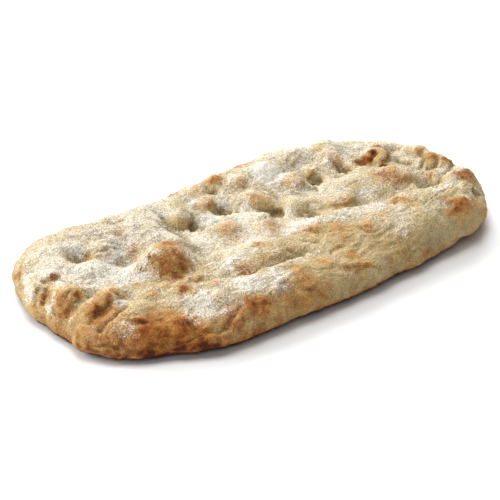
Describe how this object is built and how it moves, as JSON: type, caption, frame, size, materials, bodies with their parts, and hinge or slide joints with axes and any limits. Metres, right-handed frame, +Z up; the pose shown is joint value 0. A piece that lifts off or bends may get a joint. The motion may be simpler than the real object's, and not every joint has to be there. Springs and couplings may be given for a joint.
{
  "type": "pinsa base",
  "caption": "Oblong hand-stretched flatbread base, baked pale, with a puffed rim, finger pokes, blisters and a flat underside, ready to be topped and baked again.",
  "frame": {"origin": "middle of the footprint, on the flat underside", "axes": "+X along the length, +Y across the width, +Z up through the thickness"},
  "size_m": [0.3216, 0.1642, 0.0293],
  "materials": {
    "crust": "matte floury baked crust, cream with golden brown blisters"
  },
  "bodies": {
    "root": {"loaf": "crust"}
  },
  "joints": []
}
